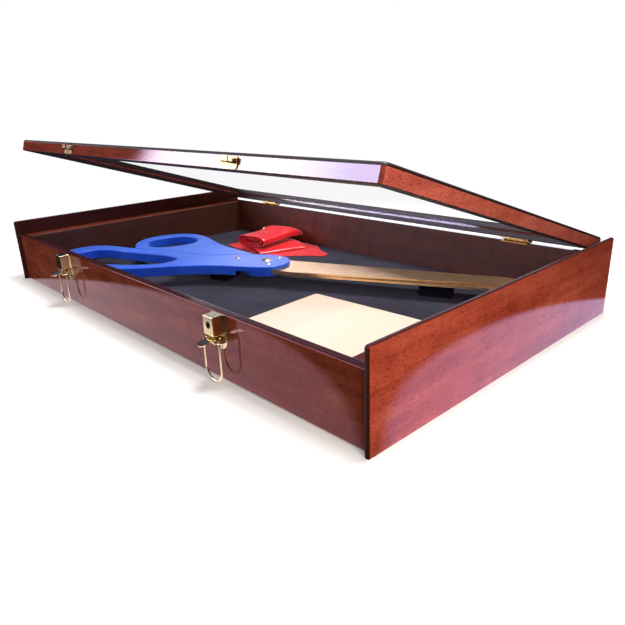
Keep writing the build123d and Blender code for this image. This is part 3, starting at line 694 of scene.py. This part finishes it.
def tail_bend(s, t):
    """Place a point of the tail inside its outline."""
    share = s / tail_length
    x = tail_low[0] + s
    middle = tail_low[1] + tail_depth * (middle_start + middle_drift * share)
    swollen = start_width + swell * sin(pi * min(share * swell_pace, 1.0))
    pointed = 1 - point_taper * max(share - point_start, 0) / point_length
    half = 0.5 * tail_width * swollen * pointed
    y = middle + t / (tail_width / 2) * half
    z = tail_low[2] + tail_lowest + tail_wave * (1 + sin(45 * x + 30 * y))
    return x, min(max(y, tail_low[1]), tail_high[1]), z


tail = ribbon_strip("ribbon_tail_cloth", tail_width, tail_length, tail_bend)
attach(tail, "ribbon")
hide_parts("ribbon_tail")

# %% [markdown]
# ## Studio table
# The case stands on a white table in a dark room. Where the camera looks, the table
# and the room are plain white. Polished lacquer shows what stands round it, so for
# reflections the table is a bright pool with a rounded outline. That outline draws
# the curved edge of the bright reflection on the front and the side of the case. A
# real studio would cut the pool with black cloth. Here the light path tells the
# material whether the camera or a reflection looks at it.


# %% Outline of the pool
def stage_material(name):
    """A material without nodes, for the studio."""
    material = bpy.data.materials.new(name)
    material.use_nodes = True
    material.node_tree.nodes.clear()
    return material, material.node_tree


table_finish, tree = stage_material("white_table")
place = add_node(tree, "ShaderNodeTexCoord").outputs["Object"]
pool_centre, pool_half, pool_power = (0.0, 0.045), (0.431, 0.355), 2.4
pool_outside, pool_inside = 1.03, 0.97      # the soft edge, 1 being the outline

terms = []
for letter, centre, half in zip("XY", pool_centre, pool_half):
    share = add_node(tree, "ShaderNodeMath", {"operation": "DIVIDE", 1: half},
                     {0: distance_from(tree, place, letter, centre)})
    terms.append(add_node(tree, "ShaderNodeMath", {"operation": "POWER", 1: pool_power},
                          {0: share.outputs[0]}).outputs[0])
pool = add_node(tree, "ShaderNodeMapRange", {"From Min": pool_outside, "From Max": pool_inside},
                {"Value": combine(tree, "ADD", *terms)}).outputs["Result"]
print("the pool reaches", pool_half[0], "m to each side")

# %% The table as a reflection sees it
side_start, side_full = 0.325, 0.350        # beside the case the pool is bluer and brighter
across = add_node(tree, "ShaderNodeSeparateXYZ", links={"Vector": place}).outputs["X"]
to_the_side = add_node(tree, "ShaderNodeMapRange",
                       {"From Min": side_start, "From Max": side_full}, {"Value": across})
pool_light = add_node(tree, "ShaderNodeMix", {"data_type": "RGBA",
                                              MIX_FROM: colour("#fcf1ff", 1.05),
                                              MIX_TO: colour("#c3ceff", 2.10)},
                      {MIX_SHARE: to_the_side.outputs["Result"]})
mirrored = add_node(tree, "ShaderNodeMix",
                    {"data_type": "RGBA", MIX_FROM: colour("#ffebff", 0.012)},
                    {MIX_SHARE: pool, MIX_TO: pool_light.outputs[MIX_RESULT]})
mirrored_light = add_node(tree, "ShaderNodeEmission", {"Strength": 1.0},
                          {"Color": mirrored.outputs[MIX_RESULT]})
print("the table in a reflection is ready")

# %% The table as the camera and the case see it
paper_white, shaded_white = colour("#ffffff", 0.80), colour("#ffffff", 0.10)
shadow_reach, white_from = 0.50, 0.80       # the table fades to plain white between them
bounce = add_node(tree, "ShaderNodeMix",
                  {"data_type": "RGBA", MIX_FROM: shaded_white, MIX_TO: paper_white},
                  {MIX_SHARE: pool})
dim_table = add_node(tree, "ShaderNodeBsdfDiffuse", links={"Color": bounce.outputs[MIX_RESULT]})

paper = add_node(tree, "ShaderNodeBsdfDiffuse", {"Color": paper_white})
glow = add_node(tree, "ShaderNodeEmission", {"Color": colour("#ffffff"), "Strength": 0.10})
lit_table = add_node(tree, "ShaderNodeAddShader", links={0: paper.outputs[0], 1: glow.outputs[0]})
plain_white = add_node(tree, "ShaderNodeEmission", {"Color": colour("#ffffff"), "Strength": 1.0})
distance = add_node(tree, "ShaderNodeVectorMath", {"operation": "LENGTH"}, {0: place})
far_off = add_node(tree, "ShaderNodeMapRange",
                   {"From Min": shadow_reach, "From Max": white_from},
                   {"Value": distance.outputs["Value"]})
seen_table = add_node(tree, "ShaderNodeMixShader",
                      links={0: far_off.outputs["Result"], 1: lit_table.outputs[0],
                             2: plain_white.outputs[0]})

light_path = add_node(tree, "ShaderNodeLightPath").outputs
seen = combine(tree, "MAXIMUM", light_path["Is Camera Ray"], light_path["Is Transmission Ray"])
not_mirrored = add_node(tree, "ShaderNodeMixShader",
                        links={0: seen, 1: dim_table.outputs[0], 2: seen_table.outputs[0]})
table_top = add_node(tree, "ShaderNodeMixShader",
                     links={0: light_path["Is Glossy Ray"], 1: not_mirrored.outputs[0],
                            2: mirrored_light.outputs[0]})
add_node(tree, "ShaderNodeOutputMaterial", links={"Surface": table_top.outputs[0]})

table_reach = 9.0
shape = bmesh.new()
bmesh.ops.create_grid(shape, x_segments=2, y_segments=2, size=table_reach)
table = new_piece("table", shape, table_finish)
print("the table reaches", table_reach, "m each way")

# %% [markdown]
# ## Room
# The camera sees a white room. The case is lit as by a dim grey one, and its gloss
# mirrors a nearly black one that is a little lighter overhead. One plain background
# can't do all three, so the light path picks among them, as on the table.

# %% Room
world = bpy.data.worlds.new("room")
bpy.context.scene.world = world
world.use_nodes = True
tree = world.node_tree
tree.nodes.clear()
light_path = add_node(tree, "ShaderNodeLightPath").outputs
direction = add_node(tree, "ShaderNodeTexCoord").outputs["Generated"]
upward = add_node(tree, "ShaderNodeSeparateXYZ", links={"Vector": direction}).outputs["Z"]
lighter_from, lighter_to = 0.24, 0.42       # 14 and 25 degrees up, as their sines
raised = add_node(tree, "ShaderNodeMapRange",
                  {"From Min": lighter_from, "From Max": lighter_to}, {"Value": upward})
for_gloss = add_node(tree, "ShaderNodeMix",
                     {"data_type": "RGBA", MIX_FROM: colour("#d5c6ff", 0.03),
                      MIX_TO: colour("#c0c0ff", 0.17)},
                     {MIX_SHARE: raised.outputs["Result"]})
room_light = add_node(tree, "ShaderNodeMix",
                      {"data_type": "RGBA", MIX_FROM: colour("#fafaff", 0.21)},
                      {MIX_SHARE: light_path["Is Glossy Ray"],
                       MIX_TO: for_gloss.outputs[MIX_RESULT]})
seen = combine(tree, "MAXIMUM", light_path["Is Camera Ray"], light_path["Is Transmission Ray"])
room = add_node(tree, "ShaderNodeMix", {"data_type": "RGBA", MIX_TO: colour("#ffffff")},
                {MIX_SHARE: seen, MIX_FROM: room_light.outputs[MIX_RESULT]})
air = add_node(tree, "ShaderNodeBackground", {"Strength": 1.0},
               {"Color": room.outputs[MIX_RESULT]})
add_node(tree, "ShaderNodeOutputWorld", links={"Surface": air.outputs[0]})
print("room ready")

# %% [markdown]
# ## Lamps
# Four soft screens light the case: the main one overhead, a wide one behind to the
# left, and a small one at each side that fills the shadows. Bare bulbs would throw
# hard shadows. The two small ones are kept out of the gloss, where they would show as
# bright boxes on the lacquer.


# %% Lamps
def soft_screen(name, place, width, height, power, tint, in_gloss=True):
    """A rectangular lamp that faces the middle of the case."""
    lamp = bpy.data.lights.new(name, "AREA")
    lamp.shape = "RECTANGLE"
    lamp.size, lamp.size_y = width, height
    lamp.energy = power
    lamp.color = colour(tint)[:3]
    screen = bpy.data.objects.new(name, lamp)
    facing = Vector(place).to_track_quat("Z", "Y").to_matrix().to_4x4()
    screen.matrix_world = Matrix.Translation(Vector(place)) @ facing
    screen.visible_camera = False
    screen.visible_glossy = in_gloss
    bpy.context.scene.collection.objects.link(screen)


soft_screen("overhead", (0.22, 0.38, 2.15), 0.8, 0.8, 60, "#fffdfa")
soft_screen("right_side", (0.76, -0.36, 0.30), 0.30, 0.22, 3.0, "#fff4ea", in_gloss=False)
soft_screen("left_side", (-0.75, -0.75, 0.40), 0.6, 0.4, 4.8, "#fff6f0", in_gloss=False)
soft_screen("left_back", (-1.60, 2.05, 0.62), 2.2, 0.7, 16, "#f2f2ff")
print("four soft screens")

# %% [markdown]
# ## A card for the lid to mirror
# The front of the lid mirrors a pale card that stands far off to the front left. An
# area lamp is even all over, and the card fades along its length, so it is a mesh
# with a glowing material. It shows in reflections only, and lights nothing else.
# Its corners are given as directions from the case.


# %% Mirrored card
def direction_point(azimuth, elevation, distance=12.0):
    """A point in a direction from the case, in degrees, at a distance in metres."""
    a, e = radians(azimuth), radians(elevation)
    return Vector((cos(a) * cos(e), sin(a) * cos(e), sin(e))) * distance


card_finish, tree = stage_material("glowing_card")
uv = add_node(tree, "ShaderNodeUVMap", {"uv_map": "card"}).outputs["UV"]
along = add_node(tree, "ShaderNodeSeparateXYZ", links={"Vector": uv}).outputs["X"]
fade = add_node(tree, "ShaderNodeValToRGB", {"stops": [
    (0.0, "#000000"), (0.02, "#4a3842"), (0.045, "#a898b4"), (0.08, "#d2ccd6"),
    (0.25, "#e4e2ea"), (0.43, "#faf8ff"), (0.54, "#f2f0ff"), (0.66, "#d2d0fc")]}, {"Fac": along})
shine = add_node(tree, "ShaderNodeEmission", {"Strength": 12.0}, {"Color": fade.outputs["Color"]})
add_node(tree, "ShaderNodeOutputMaterial", links={"Surface": shine.outputs[0]})

card_start, card_end = 205.5, 238.0
corners = [(card_start, 2.0), (card_end, 6.0), (card_end, 28.0), (card_start, 15.5)]
shape = bmesh.new()
face = shape.faces.new([shape.verts.new(direction_point(*corner)) for corner in corners])
uv_layer = shape.loops.layers.uv.new("card")
for loop, uv in zip(face.loops, [(0, 0), (1, 0), (1, 1), (0, 1)]):
    loop[uv_layer].uv = uv
card = new_piece("mirrored_card", shape, card_finish)
card.visible_camera = False
card.visible_diffuse = False
card.visible_transmission = False
card.visible_shadow = False
print("card from azimuth", card_start, "to", card_end)

# %% [markdown]
# ## Camera
# The camera stands at the front right corner, low over the case, as in the
# photograph. Its place, direction and lens come from a fit to the straight edges of
# the case, and it is turned a little about its own line of sight.

# %% Camera
eye = Vector((0.59425, -0.47865, 0.24473))
ahead = Vector((-0.69016, 0.63857, -0.34044)).normalized()
roll_angle = radians(2.098)
level_right = ahead.cross(Vector((0, 0, 1))).normalized()
level_up = level_right.cross(ahead)
right = level_right * cos(roll_angle) - level_up * sin(roll_angle)
up = level_up * cos(roll_angle) + level_right * sin(roll_angle)
lens = bpy.data.cameras.new("camera")
lens.lens = 33.6735
lens.sensor_width = 36.0
lens.clip_start = 0.01
camera = bpy.data.objects.new("camera", lens)
facing = Matrix((right, up, -ahead)).transposed().to_4x4()
camera.matrix_world = Matrix.Translation(eye) @ facing
bpy.context.scene.collection.objects.link(camera)
bpy.context.scene.camera = camera
bpy.context.scene.view_settings.view_transform = "Standard"
print("camera at", [round(v, 3) for v in eye])
